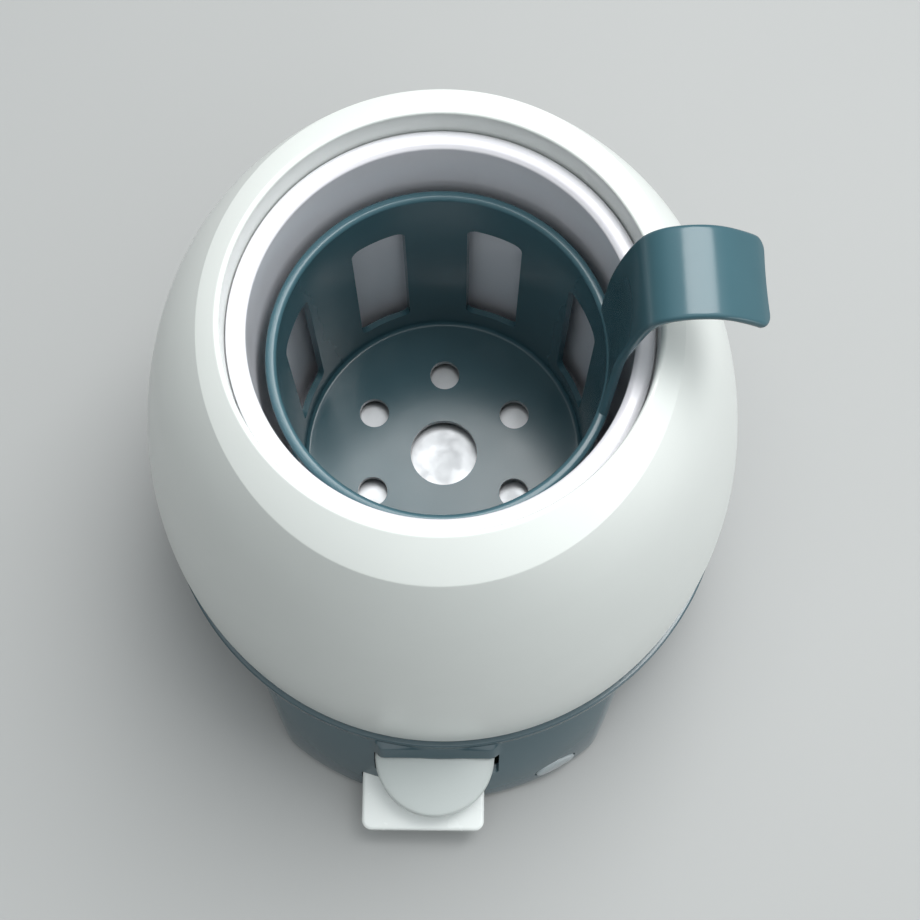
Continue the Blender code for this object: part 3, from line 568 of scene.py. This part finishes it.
def spline(pts, per=8):
    p = [np.array(q, float) for q in pts]
    p = [2 * p[0] - p[1]] + p + [2 * p[-1] - p[-2]]
    out = []
    for s in range(len(p) - 3):
        a, b, c, d = p[s:s + 4]
        for k in range(per):
            t = k / per
            out.append(0.5 * (2 * b + (c - a) * t + (2 * a - 5 * b + 4 * c - d) * t * t + (3 * b - a - 3 * c + d) * t ** 3))
    out.append(p[-2])
    return np.array(out)


line = spline(PATH, 10)
for _ in range(12):                                  # even out the curvature
    line[1:-1] = line[1:-1] * 0.5 + (line[:-2] + line[2:]) * 0.25
length = np.concatenate([[0], np.cumsum(np.linalg.norm(np.diff(line, axis=0), axis=1))])
TOTAL = length[-1]


def at(s):
    """Point and outward normal of the inner face at a distance along it."""
    s1 = min(max(s, 0.0), TOTAL)
    e = 0.4
    p = np.array([np.interp(s1, length, line[:, i]) for i in (0, 1)])
    a = np.array([np.interp(max(s1 - e, 0), length, line[:, i]) for i in (0, 1)])
    b = np.array([np.interp(min(s1 + e, TOTAL), length, line[:, i]) for i in (0, 1)])
    t = (b - a) / np.linalg.norm(b - a)
    return p + t * (s - s1), np.array([t[1], -t[0]])


def section(half_back, half_front, half_t, rad, n=7):
    """Rounded oblong across the strap: u to the back positive, w through the thickness."""
    rad = min(rad, half_t * 0.98)
    return fillet([(half_back, -half_t, rad), (half_back, half_t, rad), (-half_front, half_t, rad), (-half_front, -half_t, rad)], n)


def widths(s, z):
    back = HALF_W
    front = HALF_W
    if z < 158.0 and s < 40:                         # the front edge sweeps into the ring
        front += 7.0 * max(0.0, (158.0 - max(z, 130.0)) / 26.0) ** 2.2 * math.sqrt(float(np.clip((z - 123.4) / 7.0, 0.0, 1.0)))
    e = TOTAL - s
    if e < 2.6:                                      # rounded corners at the end
        d = 2.6 - math.sqrt(max(0.0, 2.6 ** 2 - (2.6 - max(e, 0.0)) ** 2))
        back -= d
        front -= d
    return back, front


svals = list(np.linspace(0.0, TOTAL - 2.7, 84)) + [TOTAL - 2.6 * (1 - math.sin(a)) for a in np.radians([0, 12, 24, 36, 48, 60, 72, 82])]
strap = []
NU = 26
for s in svals:
    strap.append((s, 1.0, 0.0))
for a in np.radians([30, 50, 65, 78, 90]):           # full round on the end edge
    strap.append((TOTAL, math.cos(a), 0.55 * math.sin(a)))
rings = []
for s, th, ext in strap:
    p0, _ = at(s)
    hb, hf = widths(s, p0[1])
    ht = HOOK_T / 2 * max(th, 0.12)
    base_sec = section(hb, hf, ht, 0.95 * max(th, 0.12))
    # add points across the broad faces so that the section can curve
    pts = []
    k = len(base_sec)
    for i in range(k):
        x0, y0 = base_sec[i]
        x1, y1 = base_sec[(i + 1) % k]
        m = NU if abs(x1 - x0) > 3.0 else 1
        for j in range(m):
            pts.append((x0 + (x1 - x0) * j / m, y0 + (y1 - y0) * j / m))
    ring = []
    for u, w in pts:
        near_end = smooth01((s - (TOTAL - 6.0)) / 6.0)
        dip = 0.55 * (1 - min(1.0, (u / 8.0) ** 2)) * float(near_end)      # the end edge is hollow
        p, nn = at(s + ext * 0.9 - dip)
        q = p + nn * (HOOK_T / 2 + w)
        curve = 1.0 - float(smooth01((p[1] - 150.0) / 24.0)) if s < 60 else 0.0
        flat = (q[0], u)
        ang = u / 39.0
        bent = (q[0] * math.cos(ang), q[0] * math.sin(ang))
        x = flat[0] * (1 - curve) + bent[0] * curve
        y = flat[1] * (1 - curve) + bent[1] * curve
        ring.append((x * math.cos(HOOK_AZ) - y * math.sin(HOOK_AZ), x * math.sin(HOOK_AZ) + y * math.cos(HOOK_AZ), q[1]))
    rings.append(ring)
v, f = loft(rings)
strap_ob = put("strap", v, f, None, None)
apply_boolean(lifter, [strap_ob], "UNION")
cutters = []
for i in range(4):
    a = HOOK_AZ + math.radians(22.5 + 45.0 * i)
    ring = rrect(0.0, 87.0, 7.0, 29.0, 2.6, 5)
    v, f = loft([[(x * math.cos(a) - y * math.sin(a), x * math.sin(a) + y * math.cos(a), z) for y, z in ring] for x in (-60.0, 60.0)])
    cutters.append(put("win_%d" % i, v, f, None, None))
v, f = lathe([(0, 40.0), (9.0, 40.0), (9.0, 52.0), (0, 52.0)], 64)
cutters.append(put("drain", v, f, None, None))
for i in range(6):
    a = math.radians(30 + 60 * i)
    v, f = lathe([(0, 40.0), (4.0, 40.0), (4.0, 52.0), (0, 52.0)], 40, (22.0 * math.cos(a), 22.0 * math.sin(a)))
    cutters.append(put("drain_%d" % i, v, f, None, None))
apply_boolean(lifter, cutters)
feet = []
for i in range(4):
    a = math.radians(90 * i)
    v, f = lathe([(0, 44.3), (1.6, 44.3), (2.0, 44.8), (2.0, 46.6), (0, 46.6)], 24, (34.4 * math.cos(a), 34.4 * math.sin(a)))
    feet.append(put("bfoot_%d" % i, v, f, None, None))
apply_boolean(lifter, feet, "UNION")
finish_mesh(lifter, 40.0)
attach(lifter, "lifter")
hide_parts("bottle_lifter")

# ---------------------------------------------------------------------- feet
FEET = []
for k in (1, 2, 3, 4):
    lo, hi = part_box("rubber_foot_%d" % k)
    c = ((lo.x + hi.x) / 2 / MM - AX.x / MM, (lo.y + hi.y) / 2 / MM - AX.y / MM)
    prof = [(0.0, 0.0)] + fillet([(1.0, 0.0), (6.0, 0.0, 0.9), (5.7, 1.9, 0.4), (2.0, 1.9, 0.2), (2.0, 4.5, 0.2), (2.7, 4.8, 0.2),
                                  (1.6, 6.2, 0.3), (0.4, 6.2)], 5, False)[1:-1] + [(0.0, 6.2)]
    v, f = lathe(prof, 64, c)
    put("foot_skin_%d" % k, v, f, "rubber", "body", ["rubber_foot_%d" % k], 40.0)

# --------------------------------------------------------------- mains inlet
FACE = 77.5
rings = []
for y, hx, hz, rad in ((59.0, 10.9, 6.2, 1.2), (72.4, 10.9, 6.2, 1.2), (72.4, 12.4, 8.4, 1.4), (74.9, 12.4, 8.4, 1.4),
                       (74.9, 10.9, 6.2, 1.2), (77.1, 10.9, 6.2, 1.2), (77.4, 10.75, 6.05, 1.1), (77.5, 10.5, 5.8, 1.0)):
    rings.append([(x, y, z) for x, z in rrect(0.0, BLOCK_Z, hx, hz, rad, 5)])
v, f = loft(rings)
inlet = put("inlet_skin", v, f, "black", "body", ["mains_inlet"], 35.0)
sock = [rrect(0.0, BLOCK_Z, 8.6, 4.3, 4.25, 12), rrect(0.0, BLOCK_Z, 9.1, 4.8, 4.6, 12)]
v, f = loft([[(x, FACE - 13.0, z) for x, z in sock[0]], [(x, FACE - 0.5, z) for x, z in sock[0]],
             [(x, FACE + 0.1, z) for x, z in sock[1]], [(x, FACE + 3.0, z) for x, z in sock[1]]])
holes = [put("sock", v, f, None, None)]
for sx in (-4.3, 4.3):
    n = 24
    v, f = loft([[(sx + 1.5 * math.cos(2 * math.pi * k / n), y, BLOCK_Z + 1.5 * math.sin(2 * math.pi * k / n)) for k in range(n)]
                 for y in (56.0, 67.5)])
    holes.append(put("pinhole", v, f, None, None))
apply_boolean(inlet, holes)
finish_mesh(inlet, 35.0)
for k, sx in ((1, -4.3), (2, 4.3)):
    n = 32
    rows_p = [(55.4, 1.2), (74.3, 1.2)] + [(74.3 + 1.7 * math.sin(a), 1.2 * math.cos(a)) for a in np.radians([20, 40, 55, 68, 78])]
    v, f = loft([[(sx + r * math.cos(2 * math.pi * i / n), y, BLOCK_Z + r * math.sin(2 * math.pi * i / n)) for i in range(n)]
                 for y, r in rows_p])
    put("pin_skin_%d" % k, v, f, "brass", "body", ["inlet_pin_%d" % k], 50.0)

# --------------------------------------------------------------------- stage
floor_m = Nodes("floor_pale")
floor_m.link(floor_m.ramp(floor_m.noise(3.0, 4.0), [(0.3, (0.37, 0.375, 0.37)), (0.7, (0.39, 0.395, 0.39))]), "Base Color")
floor_m.const(Roughness=0.6)
me = bpy.data.meshes.new("floor")
me.from_pydata([(-6, -6, 0), (6, -6, 0), (6, 6, 0), (-6, 6, 0)], [], [(0, 1, 2, 3)])
me.materials.append(floor_m.m)
floor = bpy.data.objects.new("floor", me)
bpy.context.scene.collection.objects.link(floor)
floor.location.z = -0.0003

world = bpy.data.worlds.new("studio")
bpy.context.scene.world = world
world.use_nodes = True
wt = world.node_tree
bg = wt.nodes["Background"]


def wmath(op, a, b):
    n = wt.nodes.new("ShaderNodeMath")
    n.operation = op
    for k, x in enumerate((a, b)):
        if isinstance(x, (int, float)):
            n.inputs[k].default_value = x
        else:
            wt.links.new(x, n.inputs[k])
    return n.outputs[0]


def wrange(x, lo, hi, a, b):
    n = wt.nodes.new("ShaderNodeMapRange")
    n.interpolation_type = "SMOOTHSTEP"
    for k, val in (("From Min", lo), ("From Max", hi), ("To Min", a), ("To Max", b)):
        n.inputs[k].default_value = val
    wt.links.new(x, n.inputs["Value"])
    return n.outputs["Result"]


wc = wt.nodes.new("ShaderNodeTexCoord")
wx = wt.nodes.new("ShaderNodeSeparateXYZ")
wt.links.new(wc.outputs["Generated"], wx.inputs[0])
sky = wrange(wx.outputs["Z"], 0.42, 0.92, 0.05, 1.45)        # dim at the horizon, bright overhead
side = wrange(wx.outputs["X"], 0.05, 0.9, 0.0, 0.30)         # brighter to the right
left = wrange(wx.outputs["X"], -0.75, 0.10, 0.45, 1.0)       # and dimmer to the left
total = wmath("MULTIPLY", wmath("ADD", sky, side), left)
wt.links.new(total, bg.inputs["Strength"])
bg.inputs["Color"].default_value = (0.93, 0.98, 1.0, 1.0)


def area(name, loc, target, size, power, rgb=(1, 1, 1), size_y=None):
    L = bpy.data.lights.new(name, "AREA")
    L.energy = power
    L.color = rgb
    L.shape = "RECTANGLE"
    L.size = size
    L.size_y = size_y or size
    ob = bpy.data.objects.new(name, L)
    bpy.context.scene.collection.objects.link(ob)
    ob.location = loc
    d = Vector(target) - Vector(loc)
    ob.rotation_euler = d.to_track_quat("-Z", "Y").to_euler()
    return ob


area("key", (0.24, 0.36, 1.10), (0, 0, 0.12), 0.66, 11.2)
area("right_card", (0.62, -0.46, 0.16), (0.03, -0.06, 0.02), 0.40, 0.75, size_y=0.22)

# -------------------------------------------------------------------- camera


def rx(a):
    c, s = math.cos(a), math.sin(a)
    return Matrix(((1, 0, 0), (0, c, -s), (0, s, c)))


def ry(a):
    c, s = math.cos(a), math.sin(a)
    return Matrix(((c, 0, s), (0, 1, 0), (-s, 0, c)))


def rz(a):
    c, s = math.cos(a), math.sin(a)
    return Matrix(((c, -s, 0), (s, c, 0), (0, 0, 1)))


EL, PIT, YAW, ROLL, DIST, FOCAL, K = math.radians(70.7), math.radians(4.2), math.radians(-0.51), math.radians(-1.42), 415.8, 1800.0, 0.94
C = Vector((0.0, -DIST * math.cos(EL), DIST * math.sin(EL)))
fw = -C.normalized()
right = Vector((1.0, 0.0, 0.0))
down = fw.cross(right)
R0 = Matrix((right, down, fw))
R = rz(ROLL) @ rx(PIT) @ ry(YAW) @ R0
turn = rz(math.radians(2.15))
loc = turn @ (C * K) + Vector((0.0, 0.0, 150.0))
cols = [turn @ Vector(R[0]), turn @ (-Vector(R[1])), turn @ (-Vector(R[2]))]
cam_d = bpy.data.cameras.new("photo_camera")
cam_d.sensor_width = 36.0
cam_d.lens = 36.0 * FOCAL / 920.0
cam_d.clip_start = 0.01
cam_d.clip_end = 50.0
cam = bpy.data.objects.new("photo_camera", cam_d)
bpy.context.scene.collection.objects.link(cam)
mw = Matrix(((cols[0][0], cols[1][0], cols[2][0], 0), (cols[0][1], cols[1][1], cols[2][1], 0),
             (cols[0][2], cols[1][2], cols[2][2], 0), (0, 0, 0, 1)))
cam.matrix_world = Matrix.Translation(AX + loc * MM) @ mw
bpy.context.scene.camera = cam
bpy.context.scene.view_settings.view_transform = "Standard"
